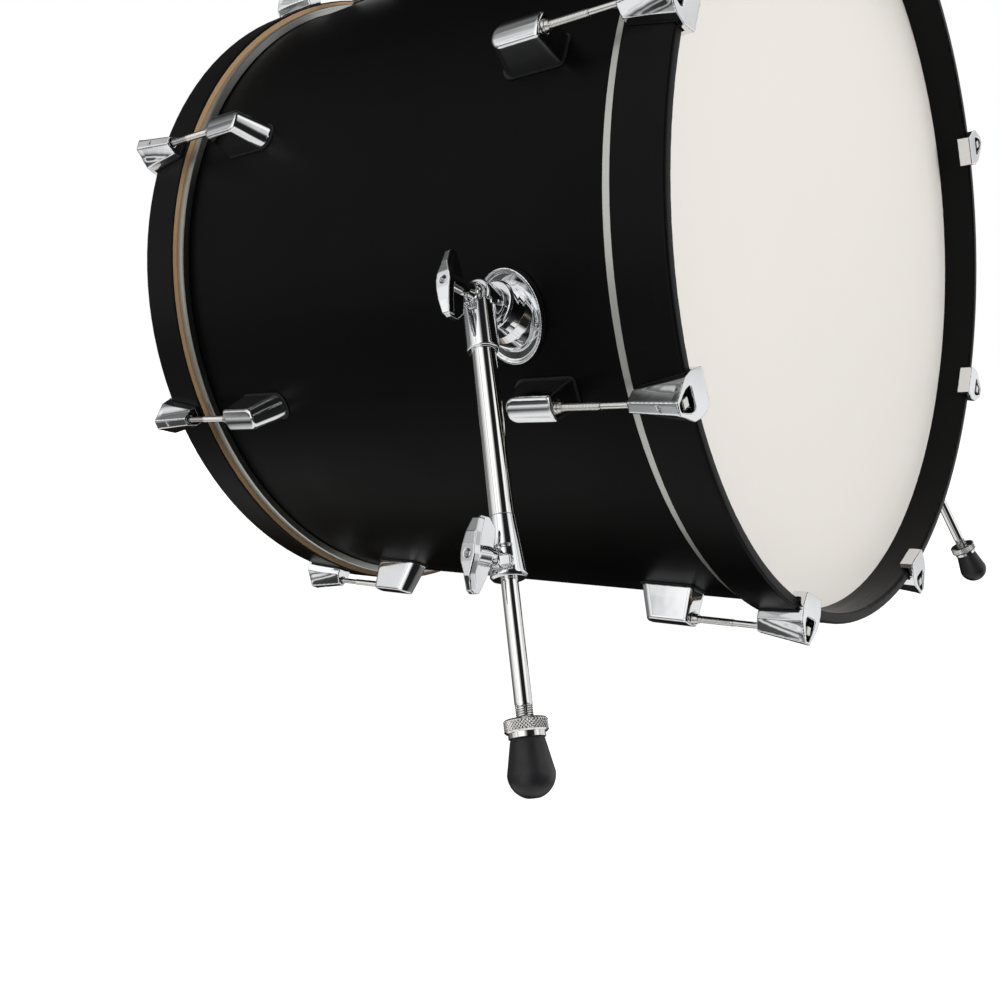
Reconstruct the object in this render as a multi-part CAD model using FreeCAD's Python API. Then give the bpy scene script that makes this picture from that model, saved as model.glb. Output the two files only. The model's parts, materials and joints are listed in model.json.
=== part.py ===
import FreeCAD, Part
import math
import os

from FreeCAD import Placement, Rotation, Vector

# Bass drum, 22 inch by 18 inch, with claw-hook tensioning and two folding spurs.
# Millimetres, +Z up.  The drum is drawn with its axis along Y and its centre at the
# origin, front (resonant) head towards -Y, then tipped back and stood on its floor
# contacts: the batter hoop and the two rubber feet.

# ---- shell, heads and hoops -------------------------------------------------------
SHELL_R = 279.4            # 22 inch outside diameter
SHELL_WALL = 7.5
SHELL_HALF = 228.6         # 18 inch deep
EDGE_FLAT = 1.5            # width of the bearing edge's crest
EDGE_ROUND = 1.0           # cut off the outer corner beside the crest
VENT_BARREL_R = 6.2
VENT_BORE_R = 4.5
VENT_RIM_R = 11.0          # grommet's rim on the outside of the shell
VENT_NUT_R = 9.0           # and its flared end inside
FILM_T = 0.4
RING_IN_R = 280.4
RING_NECK_R = 282.7
RING_OUT_R = 286.5
RING_REAR = 210.5
HOOP_IN_R = 283.0
HOOP_OUT_R = 291.5
HOOP_REAR = 218.5
HOOP_FRONT = 256.5
HOOP_ROUND = 2.2
RING_CHAMFER = 0.8

# ---- tensioning -------------------------------------------------------------------
STATIONS = 8               # lugs a side
FIRST_STATION = 22.5       # degrees from the top
ROD_R = 302.6              # circle that the rods lie on
THREAD_R = 2.75
SHANK_R = 2.35
FIT = 0.05                 # radial play of a thread or running fit
ROD_TIP = 136.0
THREAD_END = 202.0
POCKET_FLOOR = 245.0
WASHER_T = 1.2
WASHER_R = 5.2
ROD_FLANGE_T = 1.8
ROD_FLANGE_R = 4.6
ROD_FLANGE_GAP = 0.1       # film of grease between washer and flange
KEY_SQUARE = 6.35
KEY_BEVEL = 0.7
KEY_END = 260.3
CLAW_REAR = 223.0
CLAW_FRONT = 260.8
CLAW_REAR_SIDE = ((7.0, 288.0), (7.4, 300.0), (3.4, 307.2))      # half width, distance from the axis
CLAW_FRONT_SIDE = ((15.6, 288.0), (14.4, 298.0), (4.4, 312.6))
POCKET_SIDE = ((8.0, 294.0), (7.4, 300.5), (2.6, 310.2))
POCKET_CORNER = 1.9
LIP_SIDE = ((12.6, 277.0), (15.6, 289.0))
LIP_BACK = 250.0           # start of the lip's block, inside the hoop's face
LIP_GAP = 0.6              # rubber between the claw's lip and the hoop's face
PAD_T = 0.8                # rubber between the claw and the hoop's rim
LUG_BACK = 120.0
LUG_FRONT = 169.5
LUG_TOP = 308.5
LUG_FOOT = (0.0, 0.0, 11.0, 9.0, 3.6)     # set in at back and front, half width, back and front corner
LUG_FACE = (11.0, 1.6, 9.2, 7.2, 2.6)     # the same for its outer face
LUG_ROUND = 1.6
LUG_PAD_T = 1.0
LUG_PAD_RIM = 0.7          # how far the gasket shows round the lug
NUT_R = 4.3
NUT_SNOUT_R = 3.8
NUT_SNOUT = 3.6            # how far the nut stands out of the lug
NUT_LENGTH = 24.6
LUG_SCREW_Y = (130.0, 160.0)
LUG_SCREW_DEEP = 14.0      # above the shell
SCREW_R = 2.4
SCREW_PLAY = 0.4           # round a screw in a clearance hole
SCREW_HEAD_ACROSS = 8.0
SCREW_HEAD_T = 3.2
SCREW_WASHER_R = 5.5
SCREW_WASHER_T = 1.2
LUG_SCREW_REACH = 20.0     # from the screw's washer
SPUR_SCREW_REACH = 9.6

# ---- spurs ------------------------------------------------------------------------
SPUR_Y = -131.0
SPUR_DROP = 11.7           # degrees below the drum's middle
PIVOT_RISE = 17.0          # degrees that the pivot axis climbs outwards
PIVOT_OUT = 37.0           # shell to leg, along the pivot axis
RAKE = 18.75               # degrees that the leg leans towards the front
FLANGE_TALL = 31.4         # half height and half width of the oval flange
FLANGE_WIDE = 26.0
FLANGE_UP = 1.2            # oval's centre above the pivot axis
FLANGE_T = 5.0             # height of its rim above the shell
FLANGE_RIM = 1.0
FLANGE_FLOOR = 1.6         # height of the bottom of its dish
FLANGE_DISH_R = 110.0
SPUR_SCREW_CIRCLE = 20.0
SPUR_SCREW_DEEP = 2.2
HUB_R = 17.3
HUB_SKIRT_R = 20.5
PIVOT_GAP = 0.4
PIVOT_BORE_IN = 33.0       # depth of the pivot bolt's hole
PIVOT_BOLT_IN = 32.0
HEAD_IN = 12.6             # the casting's head, towards the drum and away from it
HEAD_OUT = 3.2
HEAD_R = 12.0
HEAD_ROUND = 1.4
BOLT_R = 4.0
SOCKET_R = 10.3
SOCKET_END = 37.5
NOTCH_TURN = 12.0          # direction of the socket's notch about the leg
NOTCH_TOP_HALF = 4.3
NOTCH_END = 31.0
TOOTH_Y = (8.5, 11.5)
TUBE_R = 7.6
TUBE_TOP = 12.0
TUBE_END = 172.0
COLLAR_TOP = 145.0
COLLAR_END = 183.0
COLLAR_LIP = 3.0
COLLAR_TOP_R = 8.2
COLLAR_END_R = 10.9
BORE_ROD_R = 5.0
CLAMP_AT = 171.7           # down the leg to the clamp's wing bolt
CLAMP_TURN = -6.0          # direction of that bolt about the leg
CLAMP_BOSS_R = 5.4
CLAMP_BOSS_END = 11.6
CLAMP_BOLT_R = 2.5
CLAMP_BOLT_TIP = 8.0       # from the leg's axis
CLAMP_WING_START = 12.4
KEY_BOLT_AT = 175.0
KEY_BOLT_TURN = 31.0
KEY_BOLT_R = 2.2
KEY_BOLT_END = 13.6
KEY_BOLT_SEAT = 10.6       # from the leg's axis to the face under its head
KEY_BOLT_COLLAR_R = 4.2
SLOTS = (-165.0, -179.0)   # cuts across the clamp, which free its jaw
SLOT_HALF = 0.8
SLOT_IN = 6.6              # from the leg's axis to the cuts' bottom
JAW_HALF = 6.4
ROD_TOP = 95.0
ROD_CHAMFER = 0.8
FOOT_BALL_R = 13.2
FOOT_NECK_R = 9.6
FOOT_LENGTH = 18.5         # from the top of the rubber to the ball's centre
LOCK_R = 12.3
LOCK_T = 7.4
LOCK_NECK_T = 2.8
SPIKE_R = 3.3
SPIKE_BACK = 3.0           # spike's tip above the rubber's lowest point
FOOT_TRAVEL = 7.0          # how far the rubber screws up to bare the spike
WING_LENGTH = 19.5         # wing handle along its screw
WING_RIM = 5.0             # depth of its thick outer rim
WING_PLATE_T = 3.8
WING_RIM_SIDE = ((15.8, 20.5), (18.4, 12.5), (19.5, 5.0), (19.5, -5.0), (18.4, -12.5), (15.8, -20.5))
WING_FACE = ((1.7, 22.0), (2.5, 11.0), (5.0, 4.0), (5.6, 0.0), (5.2, -4.5), (4.2, -12.0), (2.4, -22.0))
WING_HUB_R = 5.8
WING_HOLE_R = 2.5
PIVOT_WING_START = 13.5
PIVOT_WING_LEAN = -8.6     # how the two wings stand about their screws, in degrees
CLAMP_WING_LEAN = 164.0

TILT = 3.7                 # degrees that the drum leans back, front raised

X_AXIS = Vector(1, 0, 0)
Y_AXIS = Vector(0, 1, 0)
Z_AXIS = Vector(0, 0, 1)
ORIGIN = Vector(0, 0, 0)


def turned(points, axis=Y_AXIS):
    """Solid of revolution about the drum's axis from (radius, along) points."""
    return revolve([Vector(r, a, 0) for r, a in points], axis)


def revolve(points, axis):
    wire = Part.makePolygon(points + [points[0]])
    return Part.Face(wire).revolve(ORIGIN, axis, 360)


def spun_x(points):
    """Solid of revolution about X from (along, radius) points."""
    return revolve([Vector(x, 0, r) for x, r in points], X_AXIS)


def spun_z(points):
    """Solid of revolution about Z from (radius, height) points."""
    return revolve([Vector(r, 0, z) for r, z in points], Z_AXIS)


def prism(points, along):
    wire = Part.makePolygon(points + [points[0]])
    return Part.Face(wire).extrude(along)


def rod_y(radius, start, end, x=0.0, z=0.0):
    return Part.makeCylinder(radius, end - start, Vector(x, start, z), Y_AXIS)


def rod_x(radius, start, end, y=0.0, z=0.0):
    return Part.makeCylinder(radius, end - start, Vector(start, y, z), X_AXIS)


def rod_z(radius, start, end, x=0.0, y=0.0):
    return Part.makeCylinder(radius, end - start, Vector(x, y, start), Z_AXIS)


def block(x0, x1, y0, y1, z0, z1):
    return Part.makeBox(x1 - x0, y1 - y0, z1 - z0, Vector(x0, y0, z0))


def ring(inner, outer, start, end):
    return turned([(inner, start), (outer, start), (outer, end), (inner, end)])


def moved(shape, placement):
    """A copy, placed."""
    copy = shape.copy()
    copy.Placement = placement.multiply(copy.Placement)
    return copy


def at_station(shape, index):
    angle = FIRST_STATION + index * 360.0 / STATIONS
    return moved(shape, Placement(ORIGIN, Rotation(Y_AXIS, angle)))


def flip_y(shape):
    return shape.mirror(ORIGIN, Y_AXIS)


def flip_x(shape):
    return shape.mirror(ORIGIN, X_AXIS)


def all_round(shape, front=False):
    """Copies at every station, drawn at the top of the batter side and mirrored for the front."""
    side = flip_y(shape) if front else shape
    return [at_station(side, index) for index in range(STATIONS)]


def rounded(shape, radius, wanted):
    edges = [edge for edge in shape.Edges if wanted(edge)]
    return shape.makeFillet(radius, edges)


def edge_span(edge):
    box = edge.BoundBox
    return box.XLength, box.YLength, box.ZLength


# ---- shell, heads and hoops -------------------------------------------------------
def vent_hole(radius):
    return rod_z(radius, SHELL_R - 20, SHELL_R + 20)


def make_shell():
    inner = SHELL_R - SHELL_WALL
    slope = SHELL_WALL - EDGE_FLAT - EDGE_ROUND
    half = [
        (inner, SHELL_HALF - slope),
        (inner + slope, SHELL_HALF),
        (SHELL_R - EDGE_ROUND, SHELL_HALF),
        (SHELL_R, SHELL_HALF - EDGE_ROUND),
    ]
    other = [(r, -y) for r, y in reversed(half)]
    shell = turned(half + other)
    holes = [vent_hole(VENT_BARREL_R + 0.1)]
    for y in LUG_SCREW_Y:
        hole = rod_z(SCREW_R + SCREW_PLAY, SHELL_R - 20, SHELL_R + 20, y=y)
        holes += all_round(hole) + all_round(hole, front=True)
    for place in spur_screw_places():
        hole = moved(rod_z(SCREW_R + SCREW_PLAY, -30, 30), place)
        holes += [hole, flip_x(hole)]
    return shell.cut(Part.makeCompound(holes))


def make_vent_grommet():
    inside = SHELL_R - SHELL_WALL - 0.2
    return spun_z([
        (VENT_BORE_R, inside - 1.2),
        (VENT_NUT_R, inside - 1.2),
        (VENT_NUT_R, inside),
        (VENT_BARREL_R, inside),
        (VENT_BARREL_R, SHELL_R),
        (VENT_RIM_R, SHELL_R),
        (VENT_RIM_R - 0.6, SHELL_R + 1.2),
        (VENT_BARREL_R, SHELL_R + 1.9),
        (VENT_BORE_R, SHELL_R + 1.2),
    ])


def make_head_film():
    """Film stretched over the bearing edge and bonded to the end of the ring's neck."""
    return rod_y(RING_NECK_R, SHELL_HALF, SHELL_HALF + FILM_T)


def make_head_ring():
    return turned([
        (RING_IN_R, RING_REAR),
        (RING_OUT_R - RING_CHAMFER, RING_REAR),
        (RING_OUT_R, RING_REAR + RING_CHAMFER),
        (RING_OUT_R, HOOP_REAR),
        (RING_NECK_R, HOOP_REAR),
        (RING_NECK_R, SHELL_HALF),
        (RING_IN_R, SHELL_HALF),
    ])


def make_hoop():
    hoop = ring(HOOP_IN_R, HOOP_OUT_R, HOOP_REAR, HOOP_FRONT)
    return hoop.makeFillet(HOOP_ROUND, [
        edge for edge in hoop.Edges
        if edge.BoundBox.XLength > 2 * HOOP_OUT_R - 1 or (
            edge.BoundBox.YMax > HOOP_FRONT - 1 and edge.BoundBox.XLength > HOOP_IN_R)
    ])


# ---- one tension station, drawn at the top of the drum on the batter side ---------
def section(y, outline):
    """Closed wire in a plane of constant y from (across, radius) points on one side."""
    right = [Vector(t, y, r) for t, r in outline]
    left = [Vector(-t, y, r) for t, r in reversed(outline)]
    points = right + left
    return Part.makePolygon(points + [points[0]])


def claw_blank():
    """The claw without its seat and pocket: a body that widens to the front, and a lip."""
    ends = [section(CLAW_REAR, CLAW_REAR_SIDE), section(CLAW_FRONT, CLAW_FRONT_SIDE)]
    body = Part.makeLoft(ends, True, True)
    lip = Part.Face(section(LIP_BACK, LIP_SIDE)).extrude(Vector(0, CLAW_FRONT - LIP_BACK, 0))
    return body.fuse(lip).removeSplitter()


def claw_seat():
    """What the hoop and its rubber take out of a claw."""
    return ring(HOOP_IN_R - PAD_T, HOOP_OUT_R + PAD_T, HOOP_REAR - 10, HOOP_FRONT + LIP_GAP)


def make_claw():
    claw = claw_blank().cut(claw_seat())
    pocket = Part.Face(section(POCKET_FLOOR, POCKET_SIDE)).extrude(Vector(0, 30, 0))
    pocket = rounded(pocket, POCKET_CORNER, lambda edge: edge_span(edge)[1] > 29)
    hole = rod_y(THREAD_R + SCREW_PLAY, CLAW_REAR - 5, POCKET_FLOOR + 5, z=ROD_R)
    return claw.cut(pocket).cut(hole)


def make_claw_pad():
    """Rubber between the claw and the hoop, over the hoop's rim and its face."""
    core = ring(HOOP_IN_R, HOOP_OUT_R, HOOP_REAR - 10, HOOP_FRONT)
    sleeve = claw_seat().cut(core)
    outside = ring(HOOP_OUT_R - 4.0, HOOP_OUT_R + 5, CLAW_REAR + 0.6, HOOP_FRONT + 5)
    pad = claw_blank().common(sleeve).common(outside)
    return max(pad.Solids, key=lambda solid: solid.Volume)


def soft_outline(height, back, front, half, back_corner, front_corner):
    """Closed wire at one height: a rectangle in X and Y with its corners rounded."""
    corners = [
        (half, back, back_corner, -90), (half, front, front_corner, 0),
        (-half, front, front_corner, 90), (-half, back, back_corner, 180),
    ]
    points = []
    for x, y, corner, start in corners:
        centre = Vector(x - math.copysign(corner, x), y + (corner if y == back else -corner), height)
        for turn in (0, 45, 90):
            angle = math.radians(start + turn)
            points.append(centre + Vector(math.cos(angle), math.sin(angle), 0) * corner)
    edges = []
    for k in range(0, 12, 3):
        edges.append(Part.Arc(points[k], points[k + 1], points[k + 2]).toShape())
        edges.append(Part.LineSegment(points[k + 2], points[(k + 3) % 12]).toShape())
    return Part.Wire(edges)


def lug_outline(height, shape, grow=0.0):
    back, front, half, back_corner, front_corner = shape
    return soft_outline(
        height, LUG_BACK + back - grow, LUG_FRONT - front + grow, half + grow,
        back_corner + grow, front_corner + grow)


def make_lug():
    wires = [lug_outline(SHELL_R - 2, LUG_FOOT), lug_outline(LUG_TOP, LUG_FACE)]
    lug = Part.makeLoft(wires, True, True)
    lug = rounded(lug, LUG_ROUND, lambda edge: edge.BoundBox.ZMin > LUG_TOP - 0.5)
    lug = lug.cut(rod_y(SHELL_R + LUG_PAD_T, LUG_BACK - 50, LUG_FRONT + 50))
    lug = lug.cut(rod_y(NUT_R + FIT, ROD_TIP - 3, LUG_FRONT + 5, z=ROD_R))
    for y in LUG_SCREW_Y:
        lug = lug.cut(rod_z(SCREW_R + FIT, SHELL_R - 10, SHELL_R + LUG_SCREW_DEEP, y=y))
    return lug


def make_lug_pad():
    outline = lug_outline(SHELL_R - 3, LUG_FOOT, LUG_PAD_RIM)
    pad = Part.Face(outline).extrude(Vector(0, 0, 10))
    pad = pad.common(ring(SHELL_R, SHELL_R + LUG_PAD_T, LUG_BACK - 20, LUG_FRONT + 20))
    for y in LUG_SCREW_Y:
        pad = pad.cut(rod_z(SCREW_R + SCREW_PLAY, SHELL_R - 10, SHELL_R + 10, y=y))
    return pad


def make_swivel_nut():
    shoulder = LUG_FRONT + 0.6
    end = LUG_FRONT + NUT_SNOUT
    nut = rod_y(NUT_R, shoulder - NUT_LENGTH, shoulder, z=ROD_R)
    nut = nut.fuse(rod_y(NUT_SNOUT_R, shoulder, end, z=ROD_R))
    return nut.cut(rod_y(THREAD_R + FIT, shoulder - NUT_LENGTH - 1, end + 1, z=ROD_R))


def make_tension_rod():
    flange = POCKET_FLOOR + WASHER_T + ROD_FLANGE_GAP
    head = flange + ROD_FLANGE_T
    half = KEY_SQUARE / 2
    thread = rod_y(THREAD_R, ROD_TIP, THREAD_END, z=ROD_R)
    tip = [edge for edge in thread.Edges if edge.BoundBox.YMax < ROD_TIP + 1]
    thread = thread.makeChamfer(ROD_CHAMFER, tip)
    shank = rod_y(SHANK_R, THREAD_END, flange, z=ROD_R)
    collar = rod_y(ROD_FLANGE_R, flange, head, z=ROD_R)
    key = block(-half, half, head - KEY_BEVEL, KEY_END, ROD_R - half, ROD_R + half)
    key = rounded(key, KEY_BEVEL, lambda edge: True)
    return thread.fuse([shank, collar, key]).removeSplitter()


def make_rod_washer():
    washer = rod_y(WASHER_R, POCKET_FLOOR, POCKET_FLOOR + WASHER_T, z=ROD_R)
    return washer.cut(rod_y(THREAD_R + 0.3, POCKET_FLOOR - 1, POCKET_FLOOR + 3, z=ROD_R))


def hexagon(across, start, end, y=0.0):
    corner = Vector(across / math.sqrt(3), 0, start)
    points = [Rotation(Z_AXIS, 60 * k).multVec(corner) + Vector(0, y, 0) for k in range(6)]
    return prism(points, Vector(0, 0, end - start))


def inside_screw(seat, reach, y=0.0):
    """Hex screw driven outwards from inside the shell; seat is the washer's height."""
    under = seat - SCREW_WASHER_T
    head = hexagon(SCREW_HEAD_ACROSS, under - SCREW_HEAD_T, under, y=y)
    return head.fuse(rod_z(SCREW_R, under - 0.1, seat + reach, y=y))


def inside_washer(seat, y=0.0):
    washer = rod_z(SCREW_WASHER_R, seat - SCREW_WASHER_T, seat, y=y)
    return washer.cut(rod_z(SCREW_R + FIT, seat - 3, seat + 3, y=y))


# ---- spur, drawn for the -X side --------------------------------------------------
def spur_frames():
    """Placements of the flange and of the leg, and the leg's direction."""
    drop = math.radians(SPUR_DROP)
    rise = math.radians(PIVOT_RISE)
    rake = math.radians(RAKE)
    out = Vector(-math.cos(drop), 0, -math.sin(drop))
    seat = out * SHELL_R + Vector(0, SPUR_Y, 0)
    pivot = Vector(-math.cos(rise), 0, math.sin(rise))
    down = Vector(-math.sin(rise), 0, -math.cos(rise))
    leg = down * math.cos(rake) - Y_AXIS * math.sin(rake)
    up = leg * -1
    flange = Placement(seat, Rotation(Y_AXIS, Y_AXIS.cross(out) * -1, out, "ZXY"))
    top = seat + pivot * PIVOT_OUT
    frame = Placement(top, Rotation(pivot, up.cross(pivot), up, "ZXY"))
    return flange, frame, leg


def spur_screw_places():
    """Placements on the shell's surface, square to it, of the four screws behind a spur."""
    flange = spur_frames()[0]
    axis = Placement(Vector(0, 0, -SHELL_R), Rotation())
    places = []
    for quarter in range(4):
        angle = math.radians(45 + 90 * quarter)
        along = SPUR_SCREW_CIRCLE * math.cos(angle)
        round_shell = math.degrees(SPUR_SCREW_CIRCLE * math.sin(angle) / SHELL_R)
        turn = Placement(ORIGIN, Rotation(X_AXIS, -round_shell))
        shift = Placement(Vector(along, 0, SHELL_R), Rotation())
        places.append(flange.multiply(axis).multiply(turn).multiply(shift))
    return places


def oval(margin, low, high):
    """Upright slab with the flange's outline, in the flange's own axes (Y down)."""
    centre = Vector(0, -FLANGE_UP, low)
    tall = centre + Vector(0, FLANGE_TALL + margin, 0)
    wide = centre + Vector(FLANGE_WIDE + margin, 0, 0)
    wire = Part.Wire(Part.Ellipse(tall, wide, centre).toShape())
    return Part.Face(wire).extrude(Vector(0, 0, high - low))


def make_spur_base():
    """Dished oval flange with the barrel that carries the pivot."""
    flange, frame, leg = spur_frames()
    dish = Part.makeSphere(FLANGE_DISH_R, Vector(0, -FLANGE_UP, FLANGE_FLOOR + FLANGE_DISH_R))
    plate = oval(0, -8, FLANGE_T).cut(oval(-FLANGE_RIM, -8, FLANGE_T + 1).common(dish))
    barrel_end = -HEAD_IN - PIVOT_GAP
    hub = spun_x([
        (-PIVOT_OUT - 16, 0), (-PIVOT_OUT - 16, HUB_SKIRT_R + 1.5), (-PIVOT_OUT + 6, HUB_SKIRT_R),
        (-PIVOT_OUT + 12, HUB_R + 0.8), (-PIVOT_OUT + 17, HUB_R),
        (barrel_end - 1.5, HUB_R), (barrel_end, HUB_R - 1.5), (barrel_end, 0),
    ])
    hub = moved(hub, frame).common(moved(oval(-FLANGE_RIM, -30, 60), flange))
    base = moved(plate, flange).fuse(hub)
    base = base.cut(rod_y(SHELL_R + LUG_PAD_T, SPUR_Y - 90, SPUR_Y + 90))
    base = base.cut(moved(rod_x(BOLT_R + FIT, -PIVOT_BORE_IN, 0), frame))
    for place in spur_screw_places():
        base = base.cut(moved(rod_z(SCREW_R + FIT, -12, SPUR_SCREW_DEEP), place))
    return base


def make_spur_pad():
    flange = spur_frames()[0]
    pad = moved(oval(-0.4, -9, 8), flange)
    pad = pad.common(ring(SHELL_R, SHELL_R + LUG_PAD_T, SPUR_Y - 60, SPUR_Y + 60))
    for place in spur_screw_places():
        pad = pad.cut(moved(rod_z(SCREW_R + SCREW_PLAY, -12, 12), place))
    return pad


def about_leg(turn, down):
    """Placement on the leg's axis with X pointing out at the given turn about it."""
    return Placement(Vector(0, 0, -down), Rotation(Z_AXIS, turn))


def make_leg_casting():
    """Round head on the pivot, socket for the tube, tooth towards the stop, and a notch."""
    head = rod_x(HEAD_R, -HEAD_IN, HEAD_OUT)
    head = rounded(head, HEAD_ROUND, lambda edge: edge_span(edge)[0] < 0.01)
    socket = rod_z(SOCKET_R, -SOCKET_END, 0)
    mouth = [edge for edge in socket.Edges if edge.BoundBox.ZMax < -SOCKET_END + 0.1]
    socket = socket.makeChamfer(0.7, mouth)
    tooth = prism([
        Vector(1.0, TOOTH_Y[0], 2.0), Vector(1.0, TOOTH_Y[0], -8.6), Vector(-12.4, TOOTH_Y[0], -5.2),
    ], Vector(0, TOOTH_Y[1] - TOOTH_Y[0], 0))
    casting = head.fuse([socket, tooth])
    seat = rod_x(HEAD_R - 2.4, HEAD_OUT, 30).fuse(block(HEAD_OUT, 30, -15, 15, -4, 20))
    casting = casting.cut(seat)
    casting = casting.cut(rod_z(TUBE_R + FIT, -SOCKET_END - 1, -TUBE_TOP))
    casting = casting.cut(rod_x(BOLT_R + FIT, -HEAD_IN - 1, HEAD_OUT + 1))
    notch = prism([
        Vector(6.2, -NOTCH_TOP_HALF, -3.0), Vector(6.2, NOTCH_TOP_HALF, -3.0),
        Vector(6.2, 0.5, -NOTCH_END), Vector(6.2, -0.5, -NOTCH_END),
    ], Vector(30, 0, 0))
    notch = moved(notch, about_leg(NOTCH_TURN, 0))
    return casting.cut(notch.cut(rod_z(TUBE_R + FIT, -60, -TUBE_TOP)))


def make_outer_tube():
    tube = rod_z(TUBE_R, -TUBE_END, -TUBE_TOP)
    return tube.cut(rod_z(BORE_ROD_R + FIT, -TUBE_END - 1, -TUBE_TOP - 8))


def make_clamp_collar():
    """Sleeve on the tube's lower end with a boss for each screw and a jaw cut free."""
    low = -COLLAR_END + COLLAR_LIP
    sleeve = spun_z([
        (0, -COLLAR_TOP), (COLLAR_TOP_R - 0.4, -COLLAR_TOP), (COLLAR_TOP_R, -COLLAR_TOP - 0.4),
        (COLLAR_END_R, low), (COLLAR_END_R, low - 1.2), (COLLAR_END_R - 1.4, -COLLAR_END), (0, -COLLAR_END),
    ])
    wing_side = about_leg(CLAMP_TURN, CLAMP_AT)
    key_side = about_leg(KEY_BOLT_TURN, KEY_BOLT_AT)
    collar = sleeve.fuse([
        moved(rod_x(CLAMP_BOSS_R, 4, CLAMP_BOSS_END), wing_side),
        moved(rod_x(KEY_BOLT_COLLAR_R + 0.2, 4, KEY_BOLT_SEAT), key_side)])
    collar = collar.cut(rod_z(TUBE_R + FIT, -TUBE_END, -COLLAR_TOP + 5))
    collar = collar.cut(rod_z(BORE_ROD_R + FIT, -COLLAR_END - 5, -TUBE_END + 5))
    jaw = about_leg((CLAMP_TURN + KEY_BOLT_TURN) / 2, 0)
    cuts = [block(SLOT_IN, 20, -JAW_HALF, JAW_HALF, z - SLOT_HALF, z + SLOT_HALF) for z in SLOTS]
    cuts.append(block(SLOT_IN, 20, -0.5, 0.5, SLOTS[1], SLOTS[0]))
    collar = collar.cut(moved(Part.makeCompound(cuts), jaw))
    collar = collar.cut(moved(rod_x(CLAMP_BOLT_R + FIT, CLAMP_BOLT_TIP - 0.2, 20), wing_side))
    collar = collar.cut(moved(rod_x(KEY_BOLT_COLLAR_R + 0.2, KEY_BOLT_SEAT, 20), key_side))
    return collar.cut(moved(rod_x(KEY_BOLT_R + FIT, 6.4, 20), key_side))


def make_clamp_bolt():
    """Key-head screw that closes the clamp's jaw."""
    half = KEY_SQUARE / 2
    head = block(KEY_BOLT_SEAT + 1, KEY_BOLT_END, -half, half, -half, half)
    head = rounded(head, 0.6, lambda edge: edge_span(edge)[0] > 2 or edge.BoundBox.XMin > KEY_BOLT_END - 0.1)
    collar = rod_x(KEY_BOLT_COLLAR_R, KEY_BOLT_SEAT, KEY_BOLT_SEAT + 1.2)
    bolt = head.fuse([collar, rod_x(KEY_BOLT_R, 6.6, KEY_BOLT_SEAT + 1)])
    return moved(bolt, about_leg(KEY_BOLT_TURN, KEY_BOLT_AT))


def make_wing(start, lean):
    """Wing handle on the X axis: a plate with a thick outer rim, one arm cut back, and a hub."""
    rim = list(WING_RIM_SIDE)
    band = rim + [(x - WING_RIM, z) for x, z in reversed(rim)]
    plate = rim + [(13.0, -22.2), (6.5, -22.0), (1.0, -16.5), (1.0, 5.2), (9.0, 21.6), (13.0, 22.2)]
    face = [Vector(0, y, z) for y, z in WING_FACE] + [Vector(0, -y, z) for y, z in reversed(WING_FACE)]
    half = WING_PLATE_T / 2
    plate = prism([Vector(x, -half, z) for x, z in plate], Vector(0, WING_PLATE_T, 0))
    plate = rounded(plate, 1.2, lambda edge: edge_span(edge)[1] > WING_PLATE_T - 0.1)
    band = prism([Vector(x, -10, z) for x, z in band], Vector(0, 20, 0))
    band = band.common(prism(face, Vector(30, 0, 0)))
    hub = spun_x([
        (0, 0), (0, WING_HUB_R - 0.6), (5, WING_HUB_R), (WING_LENGTH - 5, WING_HUB_R - 0.4),
        (WING_LENGTH - 1, WING_HUB_R - 1.0), (WING_LENGTH - 1, 0),
    ])
    wing = plate.fuse([band, hub])
    wing = wing.cut(rod_x(WING_HOLE_R, WING_LENGTH - 4, WING_LENGTH + 3))
    return moved(wing, Placement(Vector(start, 0, 0), Rotation(X_AXIS, lean)))


def make_clamp_wing():
    wing = make_wing(CLAMP_WING_START, CLAMP_WING_LEAN)
    screw = rod_x(CLAMP_BOLT_R, CLAMP_BOLT_TIP, CLAMP_WING_START + 1)
    return moved(wing.fuse(screw), about_leg(CLAMP_TURN, CLAMP_AT))


def make_pivot_wing():
    """Wing bolt of the pivot: its handle, a stack of washers with a toothed ring, and the bolt."""
    wing = make_wing(PIVOT_WING_START, PIVOT_WING_LEAN)
    seat = HEAD_OUT + 0.3
    stack = spun_x([
        (-PIVOT_BOLT_IN, 0), (-PIVOT_BOLT_IN, BOLT_R - 0.6), (-PIVOT_BOLT_IN + 0.6, BOLT_R), (seat, BOLT_R),
        (seat, 8.8), (seat + 1.6, 9.2), (seat + 1.6, 7.4), (seat + 2.4, 7.0), (seat + 2.4, 8.4),
        (seat + 4.8, 7.8), (seat + 5.4, 6.4), (PIVOT_WING_START + 1, 4.8), (PIVOT_WING_START + 1, 0),
    ])
    gap = block(seat + 3.2, seat + 6, -0.7, 0.7, 6.6, 12)
    gaps = [moved(gap, Placement(ORIGIN, Rotation(X_AXIS, 30.0 * k))) for k in range(12)]
    return wing.fuse(stack.cut(Part.makeCompound(gaps)))


def leg_reach():
    """Distance down the leg to the centre of the foot's ball, which rests on the floor."""
    flange, frame, leg = spur_frames()
    tilt = math.radians(TILT)
    up = Vector(0, -math.sin(tilt), math.cos(tilt))
    hoop_foot = Vector(0, HOOP_FRONT - HOOP_ROUND, -HOOP_OUT_R + HOOP_ROUND)
    ball_height = up.dot(hoop_foot) - HOOP_ROUND + FOOT_BALL_R
    return (ball_height - up.dot(frame.Base)) / up.dot(leg)


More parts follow.
